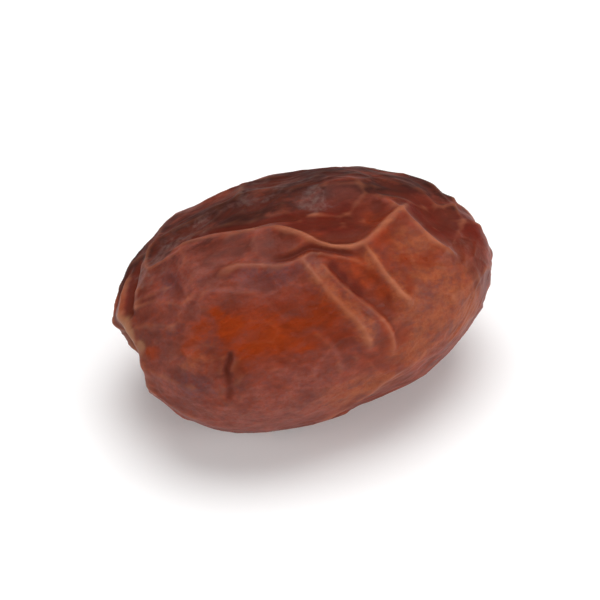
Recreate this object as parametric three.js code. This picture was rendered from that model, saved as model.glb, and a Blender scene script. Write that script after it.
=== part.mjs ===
// A khasui date: one whole, ripe, half-dried date fruit, lying on its side.
//
// Lengths are in millimetres and +Z is up. The date lies along X, its stem end towards -X and its tip towards
// +X. The origin is on the surface that the date lies on, under the middle of the date's box.
//
// The skin is one closed surface. It starts as a plain egg-like body, and swells, folds, creases and the
// crests of the loose skin lift or sink it along the body's normal. A place on the body is written
// [along, round]: along is the distance from the middle towards the tip, and round is the angle from the top
// towards the front, in degrees. So 0 is the top, 90 the front (-Y), 180 the underside and -90 the back.

import * as THREE from 'three';
import { mergeVertices } from 'three/addons/utils/BufferGeometryUtils.js';

const LENGTH = 38.0;
const WIDTH = 25.6;
const HEIGHT = 21.8;
const FULLNESS = 0.12; // how much fuller the two ends are than an ellipse's
const TAPER = 0.01; // how much fuller the tip end is than the stem end
const SAG = 1.0; // how far the soft underside is pressed flat where it lies
const SAG_EDGE = 0.35; // how far above and below the flat spot its edge is rounded
const SPLITS = 24; // triangles along each edge of the icosahedron that the skin is made from
const FINER_FRONT = 0.3; // how far the triangles are drawn towards the folds on the front
const FINEST_AT = 40; // the angle from the top at which they are smallest, in degrees
const SEED = 20;

// The broad swells and hollows: where, how far each one reaches, and how much it lifts the skin.
const SWELLS = [
  { name: 'heavy lower shoulder', at: [-9.0, 96], reach: 6.5, rise: 0.7 },
  { name: 'undercut stem end', at: [-16.5, 155], reach: 4.5, rise: -1.6 },
  { name: 'cut-back stem corner', at: [-17.4, -168], reach: 3.0, rise: -1.5 },
  { name: 'slim upper stem end', at: [-15.5, -62], reach: 5.5, rise: -0.9 },
  { name: 'slim back of the stem end', at: [-18.5, -100], reach: 3.5, rise: -0.6 },
  { name: 'tucked belly', at: [4.0, 116], reach: 6.0, rise: -0.9 },
  { name: 'slim lower tip end', at: [13.0, 100], reach: 6.0, rise: -0.7 },
  { name: 'undercut tip end', at: [14.5, 125], reach: 5.0, rise: -0.8 },
  { name: 'slim tip', at: [17.5, 95], reach: 3.5, rise: -0.5 },
  { name: 'full tip', at: [18.6, 20], reach: 4.0, rise: 0.6 },
  { name: 'clear panel', at: [-4.5, 54], reach: 4.4, rise: -0.4 },
  { name: 'hollow behind the long fold', at: [3.6, 2], reach: 2.3, rise: -0.75 },
  { name: 'end of that hollow', at: [6.2, 4], reach: 1.8, rise: -0.6 },
  { name: 'start of that hollow', at: [0.6, -1], reach: 2.0, rise: -0.4 },
  { name: 'valley between two folds', at: [4.2, 36], reach: 1.7, rise: -0.45 },
  { name: 'lower end of that valley', at: [5.6, 50], reach: 1.8, rise: -0.3 },
  { name: 'top of the broad fold', at: [0.0, 32], reach: 1.2, rise: 0.28 },
  { name: 'upper back of the broad fold', at: [0.9, 41], reach: 1.3, rise: 0.3 },
  { name: 'middle back of the broad fold', at: [2.4, 51], reach: 1.4, rise: 0.3 },
  { name: 'lower back of the broad fold', at: [3.7, 62], reach: 1.6, rise: 0.3 },
  { name: 'tip panel', at: [9.4, 22], reach: 2.4, rise: -0.25 },
  { name: 'dent behind the tip panel', at: [13.9, 2], reach: 3.0, rise: -1.2 },
  { name: 'crown hollow, stem side', at: [-9.5, -24], reach: 3.4, rise: -0.8 },
  { name: 'crown hollow, middle', at: [-4.0, -18], reach: 3.0, rise: -0.6 },
  { name: 'crown', at: [5.5, -17], reach: 3.2, rise: 0.45 },
  { name: 'stem panel', at: [-11.0, 18], reach: 4.0, rise: 0.45 },
  { name: 'flat above the clear panel', at: [-5.5, 27], reach: 2.6, rise: -0.2 },
  { name: 'left of the slit', at: [-12.6, 68], reach: 1.6, rise: 0.3 },
  { name: 'right of the slit', at: [-8.6, 70], reach: 1.6, rise: 0.3 },
  { name: 'front middle', at: [0.0, 84], reach: 3.0, rise: 0.2 },
  { name: 'hollow above the lower edge', at: [3.5, 84], reach: 2.6, rise: -0.25 },
  { name: 'back hollow, stem side', at: [-7.0, -78], reach: 4.5, rise: -1.1 },
  { name: 'back hollow, tip side', at: [5.0, -74], reach: 5.0, rise: -1.3 },
  { name: 'lower back hollow', at: [12.0, -110], reach: 4.0, rise: -0.8 },
  { name: 'lower back swell', at: [-1.0, -112], reach: 4.0, rise: 0.5 },
  { name: 'lower back stem hollow', at: [-12.0, -120], reach: 4.0, rise: -0.6 },
];

// The folds of the loose skin: how high each crest stands along its route, and how wide its left and its
// right flank are, as seen from outside on the way along the route.
const FOLDS = [
  {
    name: 'long fold, soft start', rise: 0.6, left: 0.9, right: 2.0,
    route: [[-13.6, -14], [-11.4, -10.5], [-8.8, -5], [-6.4, -0.5], [-4.0, 1], [-2.0, 5], [-0.4, 11.4],
      [0.5, 15.6]],
  },
  {
    name: 'long fold, crisp end', rise: 0.95, left: 0.5, right: 1.2,
    route: [[-4.6, 1], [-3.2, 2], [-1.8, 5.8], [-0.4, 11.4], [0.5, 15.8], [1.7, 19.4], [3.4, 20.8],
      [4.9, 19.8], [6.3, 16.2], [8.0, 10], [9.6, 4.8], [10.9, -1], [12.0, -7]],
  },
  {
    name: 'edge of the tip panel', rise: 0.75, left: 0.6, right: 1.5,
    route: [[8.6, -7], [9.2, 0], [9.8, 5], [10.6, 12], [11.4, 19.5], [12.2, 26], [13.3, 32], [14.6, 39]],
  },
  {
    name: 'second fold', rise: 0.5, left: 0.5, right: 1.4,
    route: [[-10.6, 24], [-9.4, 19], [-8.2, 16.6], [-6.6, 17.2], [-5.2, 19.2], [-3.7, 21.6],
      [-2.3, 22], [-1.3, 20.8], [-0.1, 19.8], [0.9, 21.6], [2.4, 24.6], [4.1, 28.2], [5.3, 32.6],
      [6.1, 38]],
  },
  {
    name: 'broad fold, rounded back', rise: 0.62, left: 1.1, right: 1.1,
    route: [[-1.9, 16.5], [-1.4, 21], [-1.0, 27], [-0.4, 34.5], [0.7, 44], [1.8, 52], [2.6, 59], [3.0, 67],
      [2.7, 76]],
  },
  {
    name: 'broad fold, crisp edge', rise: 0.42, left: 0.45, right: 0.9,
    route: [[-0.2, 19], [0.2, 24], [0.6, 30], [1.5, 37.5], [2.6, 43.5], [4.1, 51.5], [5.1, 58.5],
      [5.5, 66], [5.5, 74], [4.9, 82]],
  },
  {
    name: 'thin fold', rise: 0.65, left: 0.6, right: 0.8,
    route: [[4.5, 17], [5.0, 23], [5.6, 30.5], [6.1, 37.6], [6.9, 45], [7.7, 51], [8.6, 57]],
  },
  {
    name: 'lower edge', rise: 0.45, left: 1.2, right: 0.8,
    route: [[-2.6, 121], [-0.9, 115], [1.1, 109], [3.0, 103], [5.1, 95], [7.2, 89], [9.7, 84]],
  },
  {
    name: 'lip of the stem end', rise: 0.4, left: 0.9, right: 0.7,
    route: [[-15.2, -44], [-16.6, -30], [-17.5, -16], [-18.0, -3], [-18.2, 10], [-18.1, 24], [-17.7, 38],
      [-17.2, 52]],
  },
  {
    name: 'crown fold', rise: 0.45, left: 1.2, right: 0.8,
    route: [[-13.0, -36], [-10.0, -34], [-6.5, -30], [-3.0, -26], [0.5, -21], [3.0, -17], [6.0, -14],
      [8.4, -12], [10.4, -16]],
  },
  {
    name: 'faint upper ripple', rise: 0.16, left: 0.4, right: 0.7,
    route: [[-10.5, 7], [-8.6, 3.6], [-6.8, 4.2], [-5.0, 6.4], [-3.4, 9], [-2.0, 12.6]],
  },
  {
    name: 'faint middle ripple', rise: 0.16, left: 0.4, right: 0.7,
    route: [[-9.6, 13.5], [-7.8, 10], [-5.8, 10.4], [-4.2, 12], [-3.0, 14]],
  },
  {
    name: 'upper ripple of the tip panel', rise: 0.2, left: 0.4, right: 0.8,
    route: [[6.2, 24], [7.4, 20], [8.8, 17], [10.2, 20], [11.4, 26]],
  },
  {
    name: 'lower ripple of the tip panel', rise: 0.16, left: 0.4, right: 0.8,
    route: [[6.8, 31], [8.2, 28], [9.8, 28], [11.2, 33], [12.4, 40]],
  },
  {
    name: 'ripple of the stem panel', rise: 0.16, left: 0.4, right: 0.8,
    route: [[-13.6, 26], [-11.6, 24], [-9.4, 27], [-7.2, 30], [-5.0, 31]],
  },
  {
    name: 'ripple beside the broad fold', rise: 0.16, left: 0.4, right: 0.8,
    route: [[-0.6, 50], [0.7, 58], [1.5, 68], [1.7, 79]],
  },
  {
    name: 'ripple on the clear panel', rise: 0.16, left: 0.4, right: 0.8,
    route: [[-2.4, 53], [-1.0, 61], [-0.2, 71], [0.1, 83]],
  },
  {
    name: 'tip fold', rise: 0.35, left: 0.8, right: 1.2,
    route: [[12.0, 62], [13.6, 56], [15.2, 54], [16.6, 50]],
  },
  {
    name: 'upper back fold', rise: 0.9, left: 0.9, right: 1.7,
    route: [[-14.0, -60], [-10.0, -56], [-6.0, -62], [-2.0, -60], [2.0, -52], [6.0, -50], [10.0, -58],
      [14.0, -62]],
  },
  {
    name: 'middle back fold', rise: 0.8, left: 1.6, right: 0.9,
    route: [[-13.0, -84], [-8.0, -90], [-4.0, -98], [0.0, -92], [4.0, -98], [8.0, -96], [12.0, -88]],
  },
  {
    name: 'lower back fold', rise: 0.6, left: 0.6, right: 1.3,
    route: [[-10.0, -120], [-6.0, -114], [-2.0, -120], [2.0, -116], [6.0, -122], [10.0, -118]],
  },
  {
    name: 'cross fold, stem side', rise: 0.5, left: 0.6, right: 1.1,
    route: [[-2.0, -60], [-3.0, -72], [-3.6, -84], [-4.0, -98]],
  },
  {
    name: 'cross fold, tip side', rise: 0.5, left: 1.1, right: 0.6,
    route: [[6.0, -50], [7.2, -64], [7.4, -80], [8.0, -96]],
  },
];

// The creases: how deep and how wide each one is, and its route.
const CREASES = [
  {
    name: 'crack behind the long fold', depth: 0.55, width: 0.5,
    route: [[-13.4, -17], [-12.0, -15.5], [-10.3, -13.5], [-8.5, -10.5], [-6.5, -6.5], [-4.7, -4],
      [-3.1, -4.2], [-0.9, -4.2], [0.8, -5], [2.8, -7.5]],
  },
  {
    name: 'groove beside the broad fold', depth: 0.12, width: 0.35,
    route: [[0.8, 25], [1.4, 31], [2.2, 37], [3.3, 44], [4.5, 51.5], [5.5, 59], [6.0, 68], [6.0, 75]],
  },
  {
    name: 'furrow behind the second fold', depth: 0.32, width: 0.32,
    route: [[-4.4, 17.5], [-2.8, 18.6], [-1.5, 18], [-0.4, 17], [0.4, 18.6], [1.4, 21], [2.6, 23.2],
      [4.2, 26.2]],
  },
  {
    name: 'slit, upper part', depth: 0.3, width: 0.28,
    route: [[-9.9, 56], [-10.2, 62], [-10.6, 67], [-10.5, 73]],
  },
  {
    name: 'slit, lower part', depth: 0.2, width: 0.42,
    route: [[-10.6, 67], [-10.5, 73], [-10.5, 80], [-10.8, 87]],
  },
  {
    name: 'red crease at the stem end', depth: 0.7, width: 0.7,
    route: [[-14.6, -35], [-15.8, -25], [-16.6, -14], [-17.1, -3], [-17.4, 8], [-17.4, 20]],
  },
  {
    name: 'foot of the peak of the long fold', depth: 0.3, width: 0.8,
    route: [[6.6, 8], [7.8, 2], [8.6, -4]],
  },
  {
    name: 'trench of the upper back fold', depth: 0.55, width: 1.0,
    route: [[-12.0, -66], [-9.0, -64], [-6.0, -69], [-2.0, -67], [2.0, -59], [6.0, -57], [9.0, -63]],
  },
  {
    name: 'trench of the middle back fold', depth: 0.45, width: 1.0,
    route: [[-11.0, -96], [-8.0, -98], [-4.0, -106], [0.0, -100], [4.0, -106], [8.0, -104]],
  },
];

// The seat that the stem's cap has left: a round dish with a low rim and a pit in its middle.
const SEAT = {
  at: [-18.85, 110],
  reach: 3.5,
  depth: 2.3,
  rimRadius: 4.1,
  rimWidth: 0.9,
  rimRise: 0.3,
  pitReach: 0.8,
  pitDepth: 0.4,
  calm: 0.85, // how much less of the folds shows inside the rim
  calmEdge: 1.5,
};
// The tip: the small point that the flower has left, in a shallow dimple.
const TIP = {
  at: [18.9, 30],
  pointReach: 0.9,
  pointRise: 0.5,
  dimpleReach: 2.8,
  dimpleDepth: 0.35,
};

const SMALL_SWELLS = 90;
const WRINKLES = 12; // long ones, round the back and the underside
const STEM_PUCKERS = 11;
const TIP_PUCKERS = 8;
const FOLD_ENDS = 0.18; // the share of a route over which each of its ends fades out
const CREST_ROUND = 0.45; // how round the top of a crest is
const STEPS_PER_POINT = 8; // straight steps between two points of a route

// Where the skin has come loose from the flesh it stands in crests, on the borders between shallow cells.
const CELLS = 110;
const CELL_STRETCH = 1.7; // how much longer than wide a cell is, lengthwise on the date
const CELL_SIZE = 4.2;
const CELL_FLANK = 0.75; // how wide the flanks of its crests are
const CELL_ROUND = 0.4; // how round the tops of those crests are
const CELL_RISE = 0.55;
const CELL_LEVEL = 0.3; // the share of that rise at which the skin keeps the body's size
const CELL_WAVE = 0.9; // how far the borders wander from straight lines
const CELL_WAVE_PITCH = 0.8; // in radians a millimetre
const LEAST_LOOSE = 0.22; // how loose the skin is on the front, as a share of the back
const CALM = 0.8; // how much less of the cells shows on a fold
const CALM_RISE = 0.5; // the height from which a fold counts as a whole one

/** Draws numbers in a fixed order for each seed. */
function drawsFrom(seed) {
  let state = seed;
  return (low, high) => {
    state = (Math.imul(state, 1664525) + 1013904223) >>> 0;
    return low + ((high - low) * state) / 2 ** 32;
  };
}

/** 0 below 0, 1 above 1, and smooth between. */
function fade(x) {
  return THREE.MathUtils.smoothstep(x, 0, 1);
}

/** A point of the plain body. */
function bodyPoint([along, round]) {
  const share = along / (LENGTH / 2);
  const profile = Math.sqrt(Math.max(0, 1 - share ** 2)) * (1 + FULLNESS * share ** 2 + TAPER * share);
  const angle = THREE.MathUtils.degToRad(round);
  return new THREE.Vector3(
    along,
    (-WIDTH / 2) * profile * Math.sin(angle),
    (HEIGHT / 2) * profile * Math.cos(angle),
  );
}

/** The direction in which swells and folds lift the skin at a point of the plain body. */
function bodyNormal(point) {
  return new THREE.Vector3(
    point.x / (LENGTH / 2) ** 2,
    point.y / (WIDTH / 2) ** 2,
    point.z / (HEIGHT / 2) ** 2,
  ).normalize();
}

/** Places all over the date, evenly spread and a little out of line. */
function scattered(count, jitter, draw) {
  const goldenAngle = 137.508;
  return Array.from({ length: count }, (_, i) => {
    const share = 1 - (2 * (i + 0.5)) / count;
    return [(0.97 * share * LENGTH) / 2, goldenAngle * i + draw(0, jitter)];
  });
}

/** Small swells and hollows all over. */
function smallSwells(draw) {
  return scattered(SMALL_SWELLS, 25, draw).map((at) => ({
    at,
    reach: draw(1.3, 2.6),
    rise: draw(-0.2, 0.16),
  }));
}

/** Wrinkles that run roughly lengthwise round the back and the underside. */
function lengthwiseWrinkles(draw) {
  const firstRound = 128;
  const lastRound = 320;
  const flanks = 1.8; // both flanks together
  return Array.from({ length: WRINKLES }, (_, i) => {
    const round = firstRound + ((lastRound - firstRound) * (i + 0.5)) / WRINKLES + draw(-4, 4);
    const start = draw(-15, -3);
    const length = draw(7, 16);
    const rise = draw(0.25, 0.5);
    const left = draw(0.4, 1.4);
    const route = [0, 0.25, 0.5, 0.75, 1].map((share) => [start + length * share, round + draw(-5, 5)]);
    return { rise, left, right: flanks - left, route };
  });
}

/** Short folds that run in to one end of the date, as the skin gathers there. */
function puckers(count, ends, rise, draw) {
  return Array.from({ length: count }, (_, i) => {
    const round = (360 * i) / count + draw(-7, 7);
    const route = ends.map(([nearest, furthest], step) => [
      draw(nearest, furthest),
      round + 4 * step + draw(-2, 2),
    ]);
    return { rise, left: 0.4, right: 0.9, route };
  });
}

/** A route's points joined by a fine smooth line on the plain body, with the box that its reach fills. */
function lineOf(route, reach) {
  const curve = new THREE.CatmullRomCurve3(route.map(bodyPoint), false, 'catmullrom', 0.5);
  const points = curve.getPoints(STEPS_PER_POINT * (route.length - 1));
  return { points, box: new THREE.Box3().setFromPoints(points).expandByScalar(reach) };
}

/** How far a point is to the left of a line, and 1 except towards the line's ends. */
function beside({ points }, point, normal) {
  let nearest = { distance: Infinity, share: 0 };
  for (let i = 0; i < points.length - 1; i += 1) {
    const step = points[i + 1].clone().sub(points[i]);
    const offset = point.clone().sub(points[i]);
    const share = THREE.MathUtils.clamp(offset.dot(step) / step.lengthSq(), 0, 1);
    offset.addScaledVector(step, -share);
    const distance = offset.length();
    if (distance < Math.abs(nearest.distance)) {
      const side = offset.dot(normal.clone().cross(step)) < 0 ? -1 : 1;
      nearest = { distance: side * distance, share: (i + share) / (points.length - 1) };
    }
  }
  const ends = fade(nearest.share / FOLD_ENDS) * fade((1 - nearest.share) / FOLD_ENDS);
  return { distance: nearest.distance, ends };
}

/** The folds near a point lift the skin, and their crests blend. */
function foldRise(folds, point, normal) {
  const crests = folds
    .filter(({ line }) => line.box.containsPoint(point))
    .map(({ rise, left, right, line }) => {
      const { distance, ends } = beside(line, point, normal);
      const flank = distance > 0 ? left : right;
      return rise * Math.exp((CREST_ROUND - Math.hypot(distance, CREST_ROUND)) / flank) * ends;
    });
  return crests.reduce((sum, crest) => sum + crest ** 4, 0) ** 0.25;
}

/** The creases near a point sink the skin, and the deepest one wins. */
function creaseDepth(creases, point, normal) {
  const depths = creases
    .filter(({ line }) => line.box.containsPoint(point))
    .map(({ depth, width, line }) => {
      const { distance, ends } = beside(line, point, normal);
      return depth * Math.exp(-((distance / width) ** 2)) * ends;
    });
  return Math.max(0, ...depths);
}

/** How much the swells and hollows lift the skin at a point. */
function swellRise(swells, point) {
  return swells.reduce(
    (sum, { centre, reach, rise }) => sum + rise * Math.exp(-centre.distanceToSquared(point) / reach ** 2),
    0,
  );
}

/** How much the stem's seat lifts the skin at a point. */
function seatRise(point) {
  const distance = bodyPoint(SEAT.at).distanceTo(point);
  const dish = -SEAT.depth * Math.exp(-((distance / SEAT.reach) ** 4));
  const rim = SEAT.rimRise * Math.exp(-(((distance - SEAT.rimRadius) / SEAT.rimWidth) ** 2));
  const pit = -SEAT.pitDepth * Math.exp(-((distance / SEAT.pitReach) ** 2));
  return dish + rim + pit;
}

/** How much of the folds shows at a point: all of them, but few inside the stem's seat. */
function foldShare(point) {
  const inside = (SEAT.rimRadius - bodyPoint(SEAT.at).distanceTo(point)) / SEAT.calmEdge;
  return 1 - SEAT.calm * fade(inside);
}

/** How much the tip lifts the skin at a point. */
function tipRise(point) {
  const distance = bodyPoint(TIP.at).distanceTo(point);
  const spike = TIP.pointRise * Math.exp(-((distance / TIP.pointReach) ** 2));
  return spike - TIP.dimpleDepth * Math.exp(-((distance / TIP.dimpleReach) ** 2));
}

const CELL_SHAPE = new THREE.Vector3(CELL_STRETCH, 1, 1);

/** The middles of the cells, measured with their length shrunk to their width. */
function cellMiddles(draw) {
  return scattered(CELLS, 60, draw).map((place) => bodyPoint(place).divide(CELL_SHAPE));
}

/** How near a point is to the crests between the cells: 1 on a crest, and less into each cell. */
function cellCrest(middles, point) {
  const waved = new THREE.Vector3(
    point.x + CELL_WAVE * Math.sin(point.y * CELL_WAVE_PITCH),
    point.y + CELL_WAVE * Math.sin(point.z * CELL_WAVE_PITCH + 2),
    point.z + CELL_WAVE * Math.sin(point.x * CELL_WAVE_PITCH + 4),
  ).divide(CELL_SHAPE);
  const squares = middles.map((middle) => middle.distanceToSquared(waved)).sort((a, b) => a - b);
  const crests = squares.slice(1, 5).map((square) => {
    const border = (square - squares[0]) / (2 * CELL_SIZE);
    return Math.exp((4 * (CELL_ROUND - Math.hypot(border, CELL_ROUND))) / CELL_FLANK);
  });
  return crests.reduce((sum, crest) => sum + crest, 0) ** 0.25;
}

/** How much the loose skin's crests lift it at a point, where the folds have lifted it already. */
function looseRise(middles, point, foldedRise) {
  const looseness = LEAST_LOOSE + (1 - LEAST_LOOSE) * fade(0.5 + (1.5 * point.y) / WIDTH);
  const calm = 1 - CALM * Math.min(1, foldedRise / CALM_RISE);
  return CELL_RISE * looseness * calm * (cellCrest(middles, point) - CELL_LEVEL);
}

/** The height above the surface, flat where the underside is pressed against it. */
function pressedHeight(z) {
  const height = z + HEIGHT / 2 - SAG;
  if (height < -SAG_EDGE) return 0;
  return height < SAG_EDGE ? (height + SAG_EDGE) ** 2 / (4 * SAG_EDGE) : height;
}

/** The plain body, as one closed surface of triangles that are smallest near the folds on the front. */
function globe() {
  const ball = new THREE.IcosahedronGeometry(1, SPLITS - 1);
  ball.deleteAttribute('normal');
  ball.deleteAttribute('uv');
  const surface = mergeVertices(ball);
  const position = surface.getAttribute('position');
  const finest = THREE.MathUtils.degToRad(FINEST_AT);
  const pull = new THREE.Vector3(0, -Math.sin(finest), Math.cos(finest)).multiplyScalar(FINER_FRONT);
  const direction = new THREE.Vector3();
  for (let i = 0; i < position.count; i += 1) {
    direction.fromBufferAttribute(position, i).add(pull).normalize();
    const round = THREE.MathUtils.radToDeg(Math.atan2(-direction.y, direction.z));
    position.setXYZ(i, ...bodyPoint([(direction.x * LENGTH) / 2, round]));
  }
  return surface;
}

/** The whole skin, as one closed surface. */
function skinGeometry() {
  const draw = drawsFrom(SEED);
  const swells = [...SWELLS, ...smallSwells(draw)].map((swell) => ({
    ...swell,
    centre: bodyPoint(swell.at),
  }));
  const stemPuckers = puckers(STEM_PUCKERS, [[-17.9, -17.3], [-16.4, -15.4], [-14.5, -12.1]], 0.3, draw);
  const tipPuckers = puckers(TIP_PUCKERS, [[18.0, 18.5], [17.0, 17.4], [13.8, 15.8]], 0.22, draw);
  const folds = [...FOLDS, ...lengthwiseWrinkles(draw), ...stemPuckers, ...tipPuckers].map((fold) => ({
    ...fold,
    line: lineOf(fold.route, 5 * Math.max(fold.left, fold.right) + 1),
  }));
  const creases = CREASES.map((crease) => ({ ...crease, line: lineOf(crease.route, 3 * crease.width) }));
  const middles = cellMiddles(draw);

  const skin = globe();
  const position = skin.getAttribute('position');
  const point = new THREE.Vector3();
  for (let i = 0; i < position.count; i += 1) {
    point.fromBufferAttribute(position, i);
    const normal = bodyNormal(point);
    const folded = foldRise(folds, point, normal);
    const relief = folded - creaseDepth(creases, point, normal) + looseRise(middles, point, folded);
    const rise = swellRise(swells, point) + relief * foldShare(point) + seatRise(point) + tipRise(point);
    point.addScaledVector(normal, rise);
    position.setXYZ(i, point.x, point.y, pressedHeight(point.z));
  }
  skin.computeBoundingBox();
  const middle = skin.boundingBox.getCenter(new THREE.Vector3());
  skin.translate(-middle.x, -middle.y, 0);
  skin.computeVertexNormals();
  return skin;
}

const dateSkin = new THREE.MeshStandardMaterial({
  name: 'date_skin',
  color: 0x7a3f31,
  roughness: 0.42,
  metalness: 0,
});

const date = new THREE.Mesh(skinGeometry(), dateSkin);
date.name = 'date';

const part = new THREE.Group();
part.name = 'khasui_date';
part.add(date);

export default part;
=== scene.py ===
import math

import bpy
import numpy as np
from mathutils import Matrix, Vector


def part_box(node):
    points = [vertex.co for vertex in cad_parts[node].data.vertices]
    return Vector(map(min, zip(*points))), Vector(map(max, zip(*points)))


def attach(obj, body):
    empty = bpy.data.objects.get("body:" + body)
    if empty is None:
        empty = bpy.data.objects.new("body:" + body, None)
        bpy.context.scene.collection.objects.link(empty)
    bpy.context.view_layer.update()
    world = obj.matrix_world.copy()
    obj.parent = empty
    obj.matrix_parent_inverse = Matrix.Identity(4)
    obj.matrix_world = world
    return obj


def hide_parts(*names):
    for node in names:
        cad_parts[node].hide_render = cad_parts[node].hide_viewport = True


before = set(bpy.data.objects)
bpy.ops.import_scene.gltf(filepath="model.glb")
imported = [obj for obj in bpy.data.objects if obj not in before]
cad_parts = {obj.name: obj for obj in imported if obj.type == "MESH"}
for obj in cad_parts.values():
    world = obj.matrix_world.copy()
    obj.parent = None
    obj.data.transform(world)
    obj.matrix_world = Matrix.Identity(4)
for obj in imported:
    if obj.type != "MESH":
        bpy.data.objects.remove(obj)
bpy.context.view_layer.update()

# The date: one ripe fruit, flesh and loose half-dried skin grown as one piece. The stem's cap has come off
# and left a pale seat at the -X end, and the flower has left a small point at the other. It lies on its side,
# a little flattened where it touches, and its skin has folded as the flesh under it dried and shrank.
MM = 0.001  # sizes on the date are in millimetres
LENGTH = 38.0
WIDTH = 25.6
HEIGHT = 21.8
FULLNESS = 0.12  # how much fuller than an ellipse both ends are
TAPER = 0.01  # how much thicker the tip's end is than the stem's
SPLITS = 96  # how many parts each edge of the globe's twenty sides is cut into
FINER_FRONT = 0.3  # how far the mesh is drawn towards the folds on the front
FINEST_AT = 40  # degrees from the top to where it is finest


def body_points(along, around):
    """Points of the plain body, in millimetres from its middle.

    They lie so many millimetres along from the middle towards the tip, and so many degrees around from the
    top towards the front. All places on the date are given as such pairs.
    """
    share = along / (LENGTH / 2)
    profile = np.sqrt(np.clip(1 - share**2, 0, None)) * (1 + FULLNESS * share**2 + TAPER * share)
    angle = np.radians(around)
    y = -WIDTH / 2 * profile * np.sin(angle)
    z = HEIGHT / 2 * profile * np.cos(angle)
    return np.stack([along + 0 * angle, y, z], -1)


def body_point(place):
    """The point of the plain body at one place."""
    return body_points(np.float64(place[0]), np.float64(place[1]))


def globe(splits):
    """Directions and triangles of an icosahedron with each edge cut into so many, pushed out to a sphere."""
    g = (1 + math.sqrt(5)) / 2
    corners = np.array([
        (-1, g, 0), (1, g, 0), (-1, -g, 0), (1, -g, 0), (0, -1, g), (0, 1, g),
        (0, -1, -g), (0, 1, -g), (g, 0, -1), (g, 0, 1), (-g, 0, -1), (-g, 0, 1),
    ])
    sides = [
        (0, 11, 5), (0, 5, 1), (0, 1, 7), (0, 7, 10), (0, 10, 11), (1, 5, 9), (5, 11, 4),
        (11, 10, 2), (10, 7, 6), (7, 1, 8), (3, 9, 4), (3, 4, 2), (3, 2, 6), (3, 6, 8),
        (3, 8, 9), (4, 9, 5), (2, 4, 11), (6, 2, 10), (8, 6, 7), (9, 8, 1),
    ]
    points, triangles = [], []
    for a, b, c in sides:
        number = {}
        for i in range(splits + 1):
            for j in range(splits + 1 - i):
                number[i, j] = len(points)
                points.append((corners[a] * (splits - i - j) + corners[b] * i + corners[c] * j) / splits)
        for i in range(splits):
            for j in range(splits - i):
                triangles.append((number[i, j], number[i + 1, j], number[i, j + 1]))
                if i + j < splits - 1:
                    triangles.append((number[i + 1, j], number[i + 1, j + 1], number[i, j + 1]))
    points = np.array(points)
    points /= np.linalg.norm(points, axis=1, keepdims=True)
    _, first, merged = np.unique(points.round(6), axis=0, return_index=True, return_inverse=True)
    return points[first], merged.reshape(-1)[np.array(triangles)]


directions, triangles = globe(SPLITS)
finest = math.radians(FINEST_AT)
directions += FINER_FRONT * np.array([0, -math.sin(finest), math.cos(finest)])
directions /= np.linalg.norm(directions, axis=1, keepdims=True)
along = directions[:, 0] * LENGTH / 2
around = np.degrees(np.arctan2(-directions[:, 1], directions[:, 2]))
plain = body_points(along, around)
normals = plain / np.array([LENGTH / 2, WIDTH / 2, HEIGHT / 2]) ** 2
normals /= np.linalg.norm(normals, axis=1, keepdims=True)

# Swells and hollows of the flesh: place, reach, rise
SWELLS = [
    ((-9.0, 96), 6.5, 0.7),  # heavy lower shoulder
    ((-16.5, 155), 4.5, -1.6),  # undercut stem end
    ((-17.4, -168), 3.0, -1.5),
    ((-15.5, -62), 5.5, -0.9),  # slim upper stem end
    ((-18.5, -100), 3.5, -0.6),
    ((4.0, 116), 6.0, -0.9),  # tucked belly
    ((13.0, 100), 6.0, -0.7),  # slim lower tip end
    ((14.5, 125), 5.0, -0.8),
    ((17.5, 95), 3.5, -0.5),
    ((18.6, 20), 4.0, 0.6),  # full tip
    ((-4.5, 54), 4.4, -0.4),  # clear panel
    ((3.6, 2), 2.3, -0.75),  # hollow behind the long fold
    ((6.2, 4), 1.8, -0.6),
    ((0.6, -1), 2.0, -0.4),
    ((4.2, 36), 1.7, -0.45),  # valley between two folds
    ((5.6, 50), 1.8, -0.3),
    ((0.0, 32), 1.2, 0.28),  # broad fold's back
    ((0.9, 41), 1.3, 0.3),
    ((2.4, 51), 1.4, 0.3),
    ((3.7, 62), 1.6, 0.3),
    ((9.4, 22), 2.4, -0.25),  # tip panel
    ((13.9, 2), 3.0, -1.2),  # dent behind the tip panel
    ((-9.5, -24), 3.4, -0.8),  # crown hollow
    ((-4.0, -18), 3.0, -0.6),
    ((5.5, -17), 3.2, 0.45),  # crown
    ((-11.0, 18), 4.0, 0.45),  # stem panel
    ((-5.5, 27), 2.6, -0.2),
    ((-12.6, 68), 1.6, 0.3),  # either side of the slit
    ((-8.6, 70), 1.6, 0.3),
    ((0.0, 84), 3.0, 0.2),  # above the lower edge
    ((3.5, 84), 2.6, -0.25),
    ((-7.0, -78), 4.5, -1.1),  # back
    ((5.0, -74), 5.0, -1.3),
    ((12.0, -110), 4.0, -0.8),
    ((-1.0, -112), 4.0, 0.5),
    ((-12.0, -120), 4.0, -0.6),
]
SMALL_SWELLS = 90
SMALL_SWELL_REACH = (1.3, 2.6)
SMALL_SWELL_RISE = (-0.2, 0.16)
SMALL_SWELL_JITTER = 25
GOLDEN_ANGLE = 137.508
SPREAD = 0.97  # how near to the two ends scattered places come
SEED = 20


def draws_from(seed):
    """Draws numbers in a fixed order for each seed."""
    state = seed

    def draw(low, high):
        nonlocal state
        state = (state * 1664525 + 1013904223) % 2**32
        return low + (high - low) * state / 2**32

    return draw


def scattered(count, jitter, draw):
    """Places all over the date, evenly spread and so many degrees out of line."""
    places = []
    for i in range(count):
        share = 1 - 2 * (i + 0.5) / count
        places.append((SPREAD * share * LENGTH / 2, GOLDEN_ANGLE * i + draw(0, jitter)))
    return places


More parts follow.
